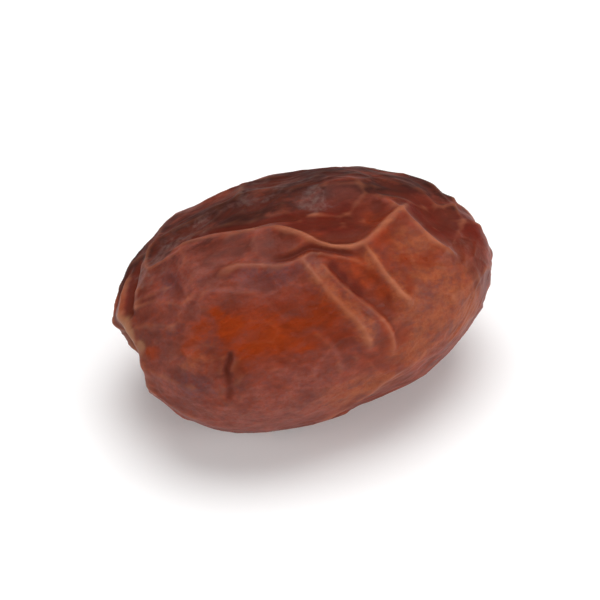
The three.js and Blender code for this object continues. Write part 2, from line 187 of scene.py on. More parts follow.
def near_to(place, reach):
    """1 at a place on the date, falling to 0 past its reach in millimetres."""
    distance = np.linalg.norm(plain - body_point(place), axis=1)
    return np.exp(-((distance / reach) ** 2))


draw = draws_from(SEED)
small_swells = [
    (place, draw(*SMALL_SWELL_REACH), draw(*SMALL_SWELL_RISE))
    for place in scattered(SMALL_SWELLS, SMALL_SWELL_JITTER, draw)
]
swell = sum(rise * near_to(place, reach) for place, reach, rise in SWELLS + small_swells)

# Folds: rise, how wide the left and the right flank are, route
FOLDS = [
    # long fold, its soft start and its crisp end
    (0.6, 0.9, 2.0, [(-13.6, -14), (-11.4, -10.5), (-8.8, -5), (-6.4, -0.5), (-4.0, 1), (-2.0, 5),
                     (-0.4, 11.4), (0.5, 15.6)]),
    (0.95, 0.5, 1.2, [(-4.6, 1), (-3.2, 2), (-1.8, 5.8), (-0.4, 11.4), (0.5, 15.8), (1.7, 19.4),
                      (3.4, 20.8), (4.9, 19.8), (6.3, 16.2), (8.0, 10), (9.6, 4.8), (10.9, -1), (12.0, -7)]),
    # tip panel's edge
    (0.75, 0.6, 1.5, [(8.6, -7), (9.2, 0), (9.8, 5), (10.6, 12), (11.4, 19.5), (12.2, 26), (13.3, 32),
                      (14.6, 39)]),
    # second fold
    (0.5, 0.5, 1.4, [(-10.6, 24), (-9.4, 19), (-8.2, 16.6), (-6.6, 17.2), (-5.2, 19.2), (-3.7, 21.6),
                     (-2.3, 22), (-1.3, 20.8), (-0.1, 19.8), (0.9, 21.6), (2.4, 24.6), (4.1, 28.2),
                     (5.3, 32.6), (6.1, 38)]),
    # broad fold, its rounded back and its crisp edge
    (0.62, 1.1, 1.1, [(-1.9, 16.5), (-1.4, 21), (-1.0, 27), (-0.4, 34.5), (0.7, 44), (1.8, 52), (2.6, 59),
                      (3.0, 67), (2.7, 76)]),
    (0.42, 0.45, 0.9, [(-0.2, 19), (0.2, 24), (0.6, 30), (1.5, 37.5), (2.6, 43.5), (4.1, 51.5),
                       (5.1, 58.5), (5.5, 66), (5.5, 74), (4.9, 82)]),
    # thin fold
    (0.65, 0.6, 0.8, [(4.5, 17), (5.0, 23), (5.6, 30.5), (6.1, 37.6), (6.9, 45), (7.7, 51), (8.6, 57)]),
    # lower edge
    (0.45, 1.2, 0.8, [(-2.6, 121), (-0.9, 115), (1.1, 109), (3.0, 103), (5.1, 95), (7.2, 89), (9.7, 84)]),
    # stem's lip
    (0.4, 0.9, 0.7, [(-15.2, -44), (-16.6, -30), (-17.5, -16), (-18.0, -3), (-18.2, 10), (-18.1, 24),
                     (-17.7, 38), (-17.2, 52)]),
    # crown fold
    (0.45, 1.2, 0.8, [(-13.0, -36), (-10.0, -34), (-6.5, -30), (-3.0, -26), (0.5, -21), (3.0, -17),
                      (6.0, -14), (8.4, -12), (10.4, -16)]),
    # faint ripples between the long fold and the second one
    (0.16, 0.4, 0.7, [(-10.5, 7), (-8.6, 3.6), (-6.8, 4.2), (-5.0, 6.4), (-3.4, 9), (-2.0, 12.6)]),
    (0.16, 0.4, 0.7, [(-9.6, 13.5), (-7.8, 10), (-5.8, 10.4), (-4.2, 12), (-3.0, 14)]),
    # faint ripples on the tip panel
    (0.2, 0.4, 0.8, [(6.2, 24), (7.4, 20), (8.8, 17), (10.2, 20), (11.4, 26)]),
    (0.16, 0.4, 0.8, [(6.8, 31), (8.2, 28), (9.8, 28), (11.2, 33), (12.4, 40)]),
    # faint ripples on the stem panel and beside the broad fold
    (0.16, 0.4, 0.8, [(-13.6, 26), (-11.6, 24), (-9.4, 27), (-7.2, 30), (-5.0, 31)]),
    (0.16, 0.4, 0.8, [(-0.6, 50), (0.7, 58), (1.5, 68), (1.7, 79)]),
    (0.16, 0.4, 0.8, [(-2.4, 53), (-1.0, 61), (-0.2, 71), (0.1, 83)]),
    # tip fold
    (0.35, 0.8, 1.2, [(12.0, 62), (13.6, 56), (15.2, 54), (16.6, 50)]),
    # upper, middle and lower back folds
    (0.9, 0.9, 1.7, [(-14.0, -60), (-10.0, -56), (-6.0, -62), (-2.0, -60), (2.0, -52), (6.0, -50),
                     (10.0, -58), (14.0, -62)]),
    (0.8, 1.6, 0.9, [(-13.0, -84), (-8.0, -90), (-4.0, -98), (0.0, -92), (4.0, -98), (8.0, -96),
                     (12.0, -88)]),
    (0.6, 0.6, 1.3, [(-10.0, -120), (-6.0, -114), (-2.0, -120), (2.0, -116), (6.0, -122), (10.0, -118)]),
    # two folds that cross between the upper and the middle one
    (0.5, 0.6, 1.1, [(-2.0, -60), (-3.0, -72), (-3.6, -84), (-4.0, -98)]),
    (0.5, 1.1, 0.6, [(6.0, -50), (7.2, -64), (7.4, -80), (8.0, -96)]),
]
CREST_ROUND = 0.18  # how rounded a crest is, in millimetres
CREST_BLEND = 4  # how much the higher of two crossing crests wins
FOLD_REACH = 5  # how many flanks wide a fold still shows
FOLD_MARGIN = 1
FOLD_ENDS = 0.18  # the share of its length in which a fold or crease dies out at each end
STEPS_PER_POINT = 8

STEM_PUCKERS = 11
STEM_PUCKER_RISE = 0.3
STEM_PUCKER_ROUTE = [(-17.9, -17.3), (-16.4, -15.4), (-14.5, -12.1)]  # between where each point may be
TIP_PUCKERS = 8
TIP_PUCKER_RISE = 0.22
TIP_PUCKER_ROUTE = [(18.0, 18.5), (17.0, 17.4), (13.8, 15.8)]
PUCKER_FLANKS = (0.4, 0.9)
PUCKER_JITTER = 7
PUCKER_TURN = 4  # degrees that a pucker turns from each point to the next
PUCKER_WANDER = 2

WRINKLES = 12
WRINKLES_AROUND = (128, 320)  # from under the front, round below and up the back
WRINKLE_JITTER = 4
WRINKLE_START = (-15, -3)
WRINKLE_LENGTH = (7, 16)
WRINKLE_RISE = (0.25, 0.5)
WRINKLE_FLANK = (0.4, 1.4)
WRINKLE_FLANKS = 1.8  # both flanks together
WRINKLE_WANDER = 5


def puckers(count, ends, rise, draw):
    """Short folds that run in to one end of the date, as the skin gathers there."""
    made = []
    for i in range(count):
        around = 360 * i / count + draw(-PUCKER_JITTER, PUCKER_JITTER)
        route = []
        for step, end in enumerate(ends):
            along = draw(*end)
            route.append((along, around + PUCKER_TURN * step + draw(-PUCKER_WANDER, PUCKER_WANDER)))
        made.append((rise, *PUCKER_FLANKS, route))
    return made


def lengthwise_wrinkles(draw):
    """Wrinkles that run roughly lengthwise round the back and the underside."""
    first, last = WRINKLES_AROUND
    made = []
    for i in range(WRINKLES):
        around = first + (last - first) * (i + 0.5) / WRINKLES + draw(-WRINKLE_JITTER, WRINKLE_JITTER)
        start = draw(*WRINKLE_START)
        length = draw(*WRINKLE_LENGTH)
        rise = draw(*WRINKLE_RISE)
        left = draw(*WRINKLE_FLANK)
        route = [
            (start + length * share, around + draw(-WRINKLE_WANDER, WRINKLE_WANDER))
            for share in (0, 0.25, 0.5, 0.75, 1)
        ]
        made.append((rise, left, WRINKLE_FLANKS - left, route))
    return made


def fade(x):
    """0 below 0, 1 above 1, and smooth between."""
    x = np.clip(x, 0, 1)
    return x * x * (3 - 2 * x)


def crest_line(route):
    """A route's points joined by a fine smooth line on the plain body."""
    known = np.array([body_point(place) for place in route])
    known = np.vstack([2 * known[0] - known[1], known, 2 * known[-1] - known[-2]])
    line = []
    for before, start, end, after in zip(known, known[1:], known[2:], known[3:]):
        for step in range(STEPS_PER_POINT):
            t = step / STEPS_PER_POINT
            bend = 2 * before - 5 * start + 4 * end - after
            twist = 3 * start - before - 3 * end + after
            line.append(start + (end - before) * t / 2 + bend * t**2 / 2 + twist * t**3 / 2)
    line.append(known[-2])
    return np.array(line)


def measure_from(line, points, normals):
    """The signed distance from each point to a line, and the share of the line's length at which it is."""
    best = np.full(len(points), np.inf)
    side = np.ones(len(points))
    share = np.zeros(len(points))
    for i, (start, end) in enumerate(zip(line, line[1:])):
        step = end - start
        t = np.clip((points - start) @ step / (step @ step), 0, 1)
        offset = points - start - t[:, None] * step
        distance = np.linalg.norm(offset, axis=1)
        nearer = distance < best
        left = (offset * np.cross(normals, step)).sum(1) >= 0
        best = np.where(nearer, distance, best)
        side = np.where(nearer, np.where(left, 1, -1), side)
        share = np.where(nearer, (i + t) / (len(line) - 1), share)
    return best * side, share


def beside(route, reach):
    """Which points are near a route, how far each one is to its left, and 1 except at the route's ends."""
    line = crest_line(route)
    near = np.where(((plain > line.min(0) - reach) & (plain < line.max(0) + reach)).all(1))[0]
    distance, share = measure_from(line, plain[near], normals[near])
    return near, distance, fade(share / FOLD_ENDS) * fade((1 - share) / FOLD_ENDS)


def fold_rise(folds):
    """How much the folds lift the skin; their crests blend."""
    crests = np.zeros(len(plain))
    for rise, left, right, route in folds:
        near, distance, ends = beside(route, FOLD_REACH * max(left, right) + FOLD_MARGIN)
        flank = np.where(distance > 0, left, right)
        crest = rise * np.exp((CREST_ROUND - np.hypot(distance, CREST_ROUND)) / flank)
        crests[near] += (crest * ends) ** CREST_BLEND
    return crests ** (1 / CREST_BLEND)


stem_puckers = puckers(STEM_PUCKERS, STEM_PUCKER_ROUTE, STEM_PUCKER_RISE, draw)
tip_puckers = puckers(TIP_PUCKERS, TIP_PUCKER_ROUTE, TIP_PUCKER_RISE, draw)
crest = fold_rise(FOLDS + lengthwise_wrinkles(draw) + stem_puckers + tip_puckers)

# Creases: depth, width, route
CREASES = [
    # crack behind the long fold
    (0.55, 0.5, [(-13.4, -17), (-12.0, -15.5), (-10.3, -13.5), (-8.5, -10.5), (-6.5, -6.5), (-4.7, -4),
                 (-3.1, -4.2), (-0.9, -4.2), (0.8, -5), (2.8, -7.5)]),
    # groove beside the broad fold
    (0.12, 0.35, [(0.8, 25), (1.4, 31), (2.2, 37), (3.3, 44), (4.5, 51.5), (5.5, 59), (6.0, 68), (6.0, 75)]),
    # furrow between the long fold and the second one
    (0.32, 0.32, [(-4.4, 17.5), (-2.8, 18.6), (-1.5, 18), (-0.4, 17), (0.4, 18.6), (1.4, 21), (2.6, 23.2),
                  (4.2, 26.2)]),
    # slit, its upper and its lower part
    (0.3, 0.28, [(-9.9, 56), (-10.2, 62), (-10.6, 67), (-10.5, 73)]),
    (0.2, 0.42, [(-10.6, 67), (-10.5, 73), (-10.5, 80), (-10.8, 87)]),
    # red crease at the stem end
    (0.7, 0.7, [(-14.6, -35), (-15.8, -25), (-16.6, -14), (-17.1, -3), (-17.4, 8), (-17.4, 20)]),
    # behind the long fold's peak
    (0.3, 0.8, [(6.6, 8), (7.8, 2), (8.6, -4)]),
    # trenches of the back folds
    (0.55, 1.0, [(-12.0, -66), (-9.0, -64), (-6.0, -69), (-2.0, -67), (2.0, -59), (6.0, -57), (9.0, -63)]),
    (0.45, 1.0, [(-11.0, -96), (-8.0, -98), (-4.0, -106), (0.0, -100), (4.0, -106), (8.0, -104)]),
]
CREASE_REACH = 3  # how many widths away a crease still shows

crease = np.zeros(len(plain))
for depth, width, route in CREASES:
    near, distance, ends = beside(route, CREASE_REACH * width)
    crease[near] = np.maximum(crease[near], depth * np.exp(-((distance / width) ** 2)) * ends)

# Seat of the stem's cap: a dish with a raised rim, and in it the scar, with its edge, fibres and pit
SEAT_AT = (-18.85, 110)
SEAT_REACH = 3.5
SEAT_DEPTH = 2.3
SEAT_STEEPNESS = 4
SEAT_RIM_RADIUS = 4.1
SEAT_RIM_WIDTH = 0.9
SEAT_RIM_RISE = 0.3
SEAT_PIT_REACH = 0.8
SEAT_PIT_DEPTH = 0.4
SEAT_CALM = 0.85  # how much less of the folds shows inside the rim
SEAT_CALM_EDGE = 1.5
SEAT_FIBRES = [(19, 2, 3), (31, 3, 2)]  # how many, how far they waver, and how often round the seat
SEAT_FIBRE_RISE = 0.05
SCAR_RADIUS = 3.2
SCAR_EDGE_WIDTH = 0.3
SCAR_EDGE_DEPTH = 0.12

from_seat = plain - body_point(SEAT_AT)
seat_distance = np.linalg.norm(from_seat, axis=1)
round_seat = np.arctan2(*from_seat[:, 1:].T)
seat_rim = np.exp(-(((seat_distance - SEAT_RIM_RADIUS) / SEAT_RIM_WIDTH) ** 2))
seat_inside = fade((SEAT_RIM_RADIUS - seat_distance) / SEAT_CALM_EDGE)
scar_edge = np.exp(-(((seat_distance - SCAR_RADIUS) / SCAR_EDGE_WIDTH) ** 2))
fibre = sum(
    np.sin(count * round_seat + waver * np.sin(often * round_seat)) for count, waver, often in SEAT_FIBRES
) / len(SEAT_FIBRES)
seat = -SEAT_DEPTH * np.exp(-((seat_distance / SEAT_REACH) ** SEAT_STEEPNESS))
seat += SEAT_RIM_RISE * seat_rim
seat -= SEAT_PIT_DEPTH * np.exp(-((seat_distance / SEAT_PIT_REACH) ** 2))
seat += SEAT_FIBRE_RISE * fibre * seat_inside
seat -= SCAR_EDGE_DEPTH * scar_edge

# Tip: a small point in a shallow dimple
TIP_AT = (18.9, 30)
TIP_POINT_REACH = 0.9
TIP_POINT_RISE = 0.5
TIP_DIMPLE_REACH = 2.8
TIP_DIMPLE_DEPTH = 0.35

tip = TIP_POINT_RISE * near_to(TIP_AT, TIP_POINT_REACH)
tip -= TIP_DIMPLE_DEPTH * near_to(TIP_AT, TIP_DIMPLE_REACH)

# Loose skin: crests along the borders between hollow cells, large ones and fine ones
CELLS = 110
CELL_STRETCH = 1.7  # how many times as long as wide
CELL_SIZE = 4.2
CELL_FLANK = 0.75
CELL_ROUND = 0.2
CELL_RISE = 0.55
FINE_CELLS = 700
FINE_STRETCH = 2.0
FINE_SIZE = 1.6
FINE_FLANK = 0.35
FINE_ROUND = 0.1
FINE_RISE = 0.12
FINE_LEAST = 0.6  # how much of the fine crests shows where the skin clings
CELL_LEVEL = 0.3  # the share of the rise at which the skin keeps the body's size
CELL_JITTER = 60
CELL_WAVE = 0.9  # how far the borders between cells wander from straight lines
CELL_WAVE_PITCH = 0.8  # in radians a millimetre
CELL_WAVE_STARTS = (0, 2, 4)
CELL_NEIGHBOURS = 4
LEAST_LOOSE = 0.22  # how loose the skin is on the front, next to 1 on the back
LOOSER_BACK = 1.5  # how fast it gets looser towards the back
CALM = 0.8  # how much less of the cells shows on a fold
CALM_RISE = 0.5  # the rise of a fold from which that holds in full
POINTS_AT_ONCE = 4000


def loose_film(draw, count, stretch, size, flank, roundness):
    """Crests along the borders between scattered cells, 1 high, with hollow cells between them."""
    lengthwise = np.array([1 / stretch, 1, 1])
    centres = np.array([body_point(place) for place in scattered(count, CELL_JITTER, draw)]) * lengthwise
    wave = np.sin(plain[:, [1, 2, 0]] * CELL_WAVE_PITCH + np.array(CELL_WAVE_STARTS))
    waved = plain + CELL_WAVE * wave
    waved *= lengthwise
    film = np.zeros(len(plain))
    for first in range(0, len(plain), POINTS_AT_ONCE):
        part = waved[first:first + POINTS_AT_ONCE]
        square = (part**2).sum(1)[:, None] - 2 * part @ centres.T + (centres**2).sum(1)
        square = np.sort(np.partition(square, CELL_NEIGHBOURS, axis=1)[:, :CELL_NEIGHBOURS + 1], axis=1)
        border = (square[:, 1:] - square[:, :1]) / (2 * size)
        border = np.hypot(border, roundness) - roundness
        crests = np.exp(-CREST_BLEND * border / flank)
        film[first:first + POINTS_AT_ONCE] = crests.sum(1) ** (1 / CREST_BLEND)
    return film


looseness = LEAST_LOOSE + (1 - LEAST_LOOSE) * fade(0.5 + LOOSER_BACK * plain[:, 1] / WIDTH)
film = loose_film(draw, CELLS, CELL_STRETCH, CELL_SIZE, CELL_FLANK, CELL_ROUND)
fine_film = loose_film(draw, FINE_CELLS, FINE_STRETCH, FINE_SIZE, FINE_FLANK, FINE_ROUND)
calm = 1 - CALM * np.clip(crest / CALM_RISE, 0, 1)
loose = looseness * calm * CELL_RISE * (film - CELL_LEVEL)
loose += (FINE_LEAST + (1 - FINE_LEAST) * looseness) * FINE_RISE * (fine_film - CELL_LEVEL)

# The whole skin, pressed flat where it lies, over the middle of the part's own box
SAG = 1.0  # how deep the body is pressed flat
SAG_EDGE = 0.35  # how high above the surface the skin starts to round over

relief = (crest - crease + loose) * (1 - SEAT_CALM * seat_inside)
skin_points = plain + normals * (swell + relief + seat + tip)[:, None]
height = skin_points[:, 2] + HEIGHT / 2 - SAG
rounded = (height + SAG_EDGE) ** 2 / (4 * SAG_EDGE)
skin_points[:, 2] = np.where(height < -SAG_EDGE, 0, np.where(height < SAG_EDGE, rounded, height))
cad_low, cad_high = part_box("date")
shift = np.array((cad_low + cad_high) / 2)[:2] / MM - (skin_points.max(0) + skin_points.min(0))[:2] / 2
skin_points[:, :2] += shift

mesh = bpy.data.meshes.new("date_skin")
mesh.from_pydata((skin_points * MM).tolist(), [], triangles.tolist())
mesh.update()
mesh.shade_smooth()
date = bpy.data.objects.new("date_skin", mesh)
bpy.context.scene.collection.objects.link(date)

# Where each colour and finish shows: soft patches, each with its place, reach, stretch and strength
PATCHES = {
    # deep red behind the long fold, in the broad fold's groove and in the dent behind the tip panel, and in
    # the creases: partly the skin's own deep red, partly painted shade
    "valley": [
        ((3.4, 3), 2.5, 1.3, 1.0), ((0.6, 2), 1.6, 1.4, 0.7), ((3.4, 37), 1.2, 0.8, 0.6),
        ((13.0, 0), 2.6, 1.2, 1.0), ((13.6, 9), 2.3, 1.0, 1.0), ((16.8, 9), 2.0, 0.8, 0.8),
        ((0.0, 4), 1.2, 1.6, 0.8), ((1.3, 28.5), 0.8, 0.8, 0.7), ((1.9, 33.5), 0.8, 0.8, 0.8),
        ((3.0, 40), 0.9, 0.8, 0.9),
    ],
    # amber window on the front, where the skin clings and shines, and a spot beside the stem's seat
    "clear": [
        ((-6.6, 54), 2.3, 1.5, 1.0), ((-4.0, 55), 2.2, 1.3, 0.8), ((-1.2, 47), 1.7, 1.2, 0.7),
        ((-7.6, 61), 1.5, 1.2, 0.6), ((-9.4, 45), 1.1, 1.8, 0.9), ((-10.4, 36), 0.8, 1.0, 0.9),
        ((-11.9, 42), 0.8, 1.4, 1.0), ((-13.2, 51), 1.1, 1.1, 0.9), ((-16.7, 55), 0.55, 1.0, 0.7),
    ],
    # the same amber, but matt, between the broad fold and the thin one and behind the long fold's peak
    "orange": [
        ((3.7, 31), 1.1, 0.8, 1.0), ((4.4, 37), 1.1, 0.8, 1.0), ((5.2, 45), 1.0, 0.8, 0.8),
        ((7.0, 6), 1.5, 1.1, 0.7),
    ],
    # rust at the feet of the folds, round the amber window and on the tip
    "rust": [
        ((1.9, 32), 1.1, 1.0, 0.9), ((3.6, 42), 1.2, 0.8, 0.6), ((5.2, 50), 1.4, 0.7, 0.8),
        ((8.3, 44), 0.9, 0.7, 0.8), ((6.6, 17), 1.3, 1.2, 0.8), ((1.5, 17), 1.3, 3.0, 0.8),
        ((-3.6, 10), 1.0, 2.0, 0.7), ((13.6, 28), 1.8, 1.0, 0.8), ((16.4, 28), 2.4, 1.0, 0.9),
        ((3.4, 76), 1.7, 1.2, 0.7), ((6.0, 68), 1.4, 1.0, 0.8), ((-8.0, 40), 2.0, 2.0, 0.6),
        ((-1.0, 60), 2.4, 1.2, 0.6), ((-16.5, 54.5), 0.7, 1.2, 0.9), ((11.0, 14), 1.0, 1.0, 0.9),
        ((8.6, 31), 1.0, 0.8, 0.8), ((10.6, 33), 0.8, 2.0, 0.8), ((-17.2, -6), 1.6, 1.0, 1.0),
    ],
    # brown between the folds, at the slit, under the crown and over the tip's end
    "brown": [
        ((-7.6, 5), 1.8, 2.0, 1.0), ((-3.0, 11), 1.4, 2.0, 1.0), ((0.8, 17), 1.1, 2.4, 0.9),
        ((3.4, 21), 0.9, 1.6, 0.8), ((13.6, 30), 1.6, 1.0, 1.0), ((16.6, 28), 2.4, 1.0, 1.0),
        ((12.2, 8), 2.0, 1.0, 0.9), ((15.5, 6), 2.4, 1.0, 0.9), ((-9.0, 33), 1.4, 2.0, 0.7),
        ((-10.3, 66), 1.3, 1.2, 0.8), ((-16.2, 4), 2.0, 0.8, 0.9), ((-4.6, 11), 1.3, 1.6, 0.9),
        ((6.0, -11), 2.4, 1.8, 1.0), ((-8.6, 17), 1.0, 2.0, 0.7), ((15.8, 48), 1.8, 0.9, 0.7),
    ],
    # nearly black crown and upper ends: partly the ripe skin's own dark tone, partly painted shadow
    "ripe_and_shadow": [
        ((-9.0, -28), 4.6, 2.0, 1.0), ((0.5, -22), 2.6, 1.6, 1.0), ((3.0, -38), 4.6, 2.2, 1.0),
        ((-15.0, -50), 4.4, 1.0, 1.0), ((-6.0, -12), 1.8, 3.2, 1.0), ((10.6, -16), 2.8, 1.6, 1.0),
        ((14.0, -30), 4.0, 1.2, 0.9), ((1.0, -17), 1.4, 1.6, 0.9), ((-1.0, -10), 1.5, 1.4, 1.0),
    ],
    # dusty bloom on the crown
    "bloom": [
        ((-10.5, -22), 2.0, 1.6, 0.7), ((-2.0, -30), 2.6, 2.0, 0.7), ((-15.0, -10), 2.4, 1.0, 0.8),
        ((2.4, -11), 1.6, 1.2, 0.9),
    ],
    # tan skin of the tip panel, the broad fold and the lower edge
    "pale": [
        ((12.0, 55), 5.0, 1.2, 1.0), ((8.2, 52), 2.4, 1.0, 1.0), ((9.6, 26), 2.4, 1.0, 0.9),
        ((11.2, 25), 1.6, 1.0, 1.0), ((15.0, 72), 4.0, 1.0, 1.0), ((0.3, 38), 1.3, 0.8, 1.0),
        ((1.8, 49), 1.4, 0.8, 1.0), ((2.9, 60), 1.4, 0.8, 0.9), ((8.0, 76), 3.0, 1.3, 1.0),
        ((-0.5, 30), 1.3, 0.8, 1.0), ((-0.9, 23), 1.1, 1.0, 0.9), ((5.0, 29), 1.1, 0.9, 1.0),
        ((2.5, 96), 2.2, 2.0, 1.0), ((-13.4, 60), 2.0, 1.0, 0.6),
    ],
    # mauve round the stem end and along the lower front: partly the dull skin's own tone, partly painted
    # sheen
    "dull_and_sheen": [
        ((-11.5, 12), 5.0, 1.3, 0.9), ((-5.8, 23), 1.8, 1.8, 1.0), ((-14.0, 78), 3.4, 1.3, 1.0),
        ((-3.0, 72), 2.6, 2.2, 1.0), ((-4.0, 92), 4.4, 2.0, 0.9), ((5.2, -9), 0.8, 1.6, 0.4),
        ((-15.5, 62), 2.4, 1.0, 1.0), ((-9.0, 104), 4.0, 1.8, 1.0), ((16.5, 50), 2.0, 1.0, 0.8),
    ],
    # dusky mauve on the long fold's shoulder, under the second fold and at both ends: partly the skin's own
    # tone, partly painted shade under the folds and painted sheen low on the front
    "dusky": [
        ((-4.6, -1), 1.6, 2.0, 0.7), ((-7.5, -8), 1.6, 2.2, 0.8), ((3.0, -13), 1.4, 1.4, 0.7),
        ((-3.8, 25), 1.5, 2.2, 1.0), ((-6.4, 23), 1.2, 2.0, 0.9), ((-13.8, 77), 1.5, 1.8, 1.0),
        ((-13.6, 10), 1.6, 0.8, 0.8), ((-14.5, 42), 1.2, 1.0, 0.6), ((17.5, 64), 2.2, 0.8, 0.9),
        ((16.0, 22), 2.2, 1.0, 1.0),
    ],
    # tan rim of the stem's seat
    "rim": [
        ((-18.2, 14), 0.7, 0.7, 0.5), ((-18.0, 25), 0.9, 0.7, 0.8), ((-17.8, 36), 0.9, 0.7, 0.9),
        ((-17.3, 47), 0.6, 0.7, 0.6),
    ],
}
PATCH_STEEPNESS = 2.5
CLOSE_ROUNDS = 40  # rounds of smoothing that take out single crests
WIDE_ROUNDS = 300  # and those that take out whole folds
DEEP_CREASE = 0.6  # the depth from which a crease is all deep red
SCAR_FADE = 1.0
SCAR_EDGE_BROWN = 0.7
SEAT_RIM_TAN = 0.3
PIT_REACH = 1.0


def add_mask(name, values):
    """A number from 0 to 1 at each vertex, which the skin's material reads."""
    attribute = mesh.attributes.new(name, "FLOAT", "POINT")
    attribute.data.foreach_set("value", np.clip(values, 0, 1).astype(np.float32))


def smoothed(values, rounds):
    """Each vertex's value averaged with its neighbours', over and over."""
    start = np.concatenate([triangles[:, 0], triangles[:, 1], triangles[:, 2]])
    end = np.concatenate([triangles[:, 1], triangles[:, 2], triangles[:, 0]])
    neighbours = np.bincount(start, minlength=len(values))
    for _ in range(rounds):
        values = (values + np.bincount(start, values[end], len(values)) / neighbours) / 2
    return values


def rising(values, start, run):
    """0 up to the start, and 1 from one run past it, in millimetres."""
    return (values - start) / run


def patches(places):
    """A mask that is up to 1 in soft patches."""
    blended = np.zeros(len(plain))
    for place, reach, stretch, amount in places:
        offset = plain - body_point(place)
        offset[:, 0] /= stretch
        distance = np.linalg.norm(offset, axis=1) / reach
        blended = np.maximum(blended, amount * np.exp(-(distance**PATCH_STEEPNESS)))
    return blended


standing_out = relief - smoothed(relief, CLOSE_ROUNDS)
deep_down = smoothed(swell + relief, WIDE_ROUNDS) - swell - relief
# raised and sunken drive a painted highlight on the crests and painted shade beside them; hollow drives
# painted shade in the broad hollows
add_mask("raised", rising(standing_out, start=0.02, run=0.15))
add_mask("sunken", rising(-standing_out, start=0.01, run=0.11))
add_mask("hollow", rising(deep_down, start=0.02, run=0.22))
add_mask("scar", fade((SCAR_RADIUS + SCAR_EDGE_WIDTH - seat_distance) / SCAR_FADE))
add_mask("pit", np.exp(-((seat_distance / PIT_REACH) ** 2)))
add_mask("fibre", 0.5 + 0.5 * fibre)
along_forms = {
    "valley": crease / DEEP_CREASE,
    "brown": SCAR_EDGE_BROWN * scar_edge,
    "rim": SEAT_RIM_TAN * seat_rim,
}
for name, places in PATCHES.items():
    add_mask(name, along_forms.get(name, 0) + patches(places))

# Skin: brown to rust, mauve where it is dull and as painted sheen, light tan as a painted highlight on
# the crests, amber where it clings
BROWN = (0.098, 0.012, 0.005, 1)
RUST = (0.215, 0.023, 0.004, 1)
MAUVE = (0.230, 0.064, 0.048, 1)
DUSK = (0.112, 0.037, 0.040, 1)
AMBER = (0.250, 0.028, 0.003, 1)
DEEP_RED = (0.095, 0.004, 0.001, 1)
TAN = (0.315, 0.078, 0.028, 1)
# painted highlight colour for the crests
HIGHLIGHT_TAN = (0.390, 0.125, 0.062, 1)
PURPLE = (0.022, 0.003, 0.003, 1)
DUST = (0.200, 0.120, 0.108, 1)
SCAR_TAN = (0.270, 0.118, 0.060, 1)
RIM_TAN = (0.360, 0.165, 0.085, 1)

STREAK_SCALE = (0.4, 1, 1)  # draws streaks out lengthwise
SATIN = (0.40, 0.54)  # least and most roughness of plain skin
MORE_GLOSS = 0.24  # how much less rough the skin is where it clings
LESS_GLOSS = 0.4  # and how much rougher on the dusty crown and in the valleys
SHINE = 0.12
TRANSLUCENCE = 0.12
LIGHT_DEPTH = 0.7
LIGHT_REACH = (1.0, 0.25, 0.08)  # how far red, green and blue light get through the flesh, in such depths
DENT_SIZE = 0.8
DENT_DEPTH = 0.14
DENT_STRENGTH = 0.5
PORE_SIZE = 0.22
PORE_DEPTH = 0.04
PORE_STRENGTH = 0.30

skin = bpy.data.materials.new("date_skin")
skin.use_nodes = True
skin_nodes = skin.node_tree.nodes
skin_links = skin.node_tree.links
shader = skin_nodes["Principled BSDF"]


def join(value, socket):
    if isinstance(value, bpy.types.NodeSocket):
        skin_links.new(value, socket)
    else:
        socket.default_value = value


def put(kind, settings=None, **inputs):
    """A node of the skin's material, with its settings and with values or links for its inputs."""
    made = skin_nodes.new("ShaderNode" + kind)
    for name, value in (settings or {}).items():
        setattr(made, name, value)
    for name, value in inputs.items():
        join(value, made.inputs[name.replace("_", " ")])
    return made


def mask(name):
    return put("Attribute", {"attribute_name": name}).outputs["Fac"]


def maths(operation, first, second):
    made = put("Math", {"operation": operation, "use_clamp": True})
    join(first, made.inputs[0])
    join(second, made.inputs[1])
    return made.outputs[0]


def product(first, second):
    return maths("MULTIPLY", first, second)


def between(value, low, high, start=0.0, end=1.0):
    """The value's way from low to high, smoothly, given out as start to end."""
    made = put("MapRange", {"interpolation_type": "SMOOTHSTEP"}, Value=value)
    for name, number in (("From Min", low), ("From Max", high), ("To Min", start), ("To Max", end)):
        made.inputs[name].default_value = number
    return made.outputs["Result"]


def mixed(amount, under, over, blend="MIX"):
    made = put("Mix", {"data_type": "RGBA", "blend_type": blend})
    join(amount, made.inputs["Factor"])
    join(under, made.inputs["A"])
    join(over, made.inputs["B"])
    return made.outputs["Result"]


all_ways = put("TexCoord").outputs["Object"]
drawn_out = put("Mapping", Vector=all_ways, Scale=STREAK_SCALE).outputs["Vector"]


def cloudy(size, detail=3.0, rough=0.55, where=all_ways):
    """Soft noise, mostly between 0.3 and 0.7, of patches about size millimetres across."""
    noise = put("TexNoise", Vector=where, Scale=1 / (size * MM), Detail=detail, Roughness=rough)
    return noise.outputs["Fac"]


mottle = cloudy(size=3.2, detail=5.0, rough=0.62, where=drawn_out)
smear = cloudy(size=1.5, detail=4.0, rough=0.65, where=drawn_out)
streaks = cloudy(size=1.1, detail=5.0, rough=0.7, where=drawn_out)
grain = cloudy(size=0.8, detail=4.0, rough=0.7)
fine_grain = cloudy(size=0.45, detail=4.0, rough=0.7)
border = between(smear, 0.3, 0.7, start=-0.4, end=0.4)


def ragged(name):
    """A mask with its soft border smeared."""
    moved = put("Math", {"operation": "MULTIPLY_ADD"})
    join(border, moved.inputs[0])
    join(between(mask(name), 0.0, 0.4), moved.inputs[1])
    join(mask(name), moved.inputs[2])
    return between(moved.outputs[0], -0.1, 1.0)


# ground of brown and rust, and the broad patches of mauve and tan on it, in streaks
colour = mixed(between(mottle, 0.36, 0.56), BROWN, RUST)
colour = mixed(between(smear, 0.65, 0.35, end=0.35), colour, MAUVE)
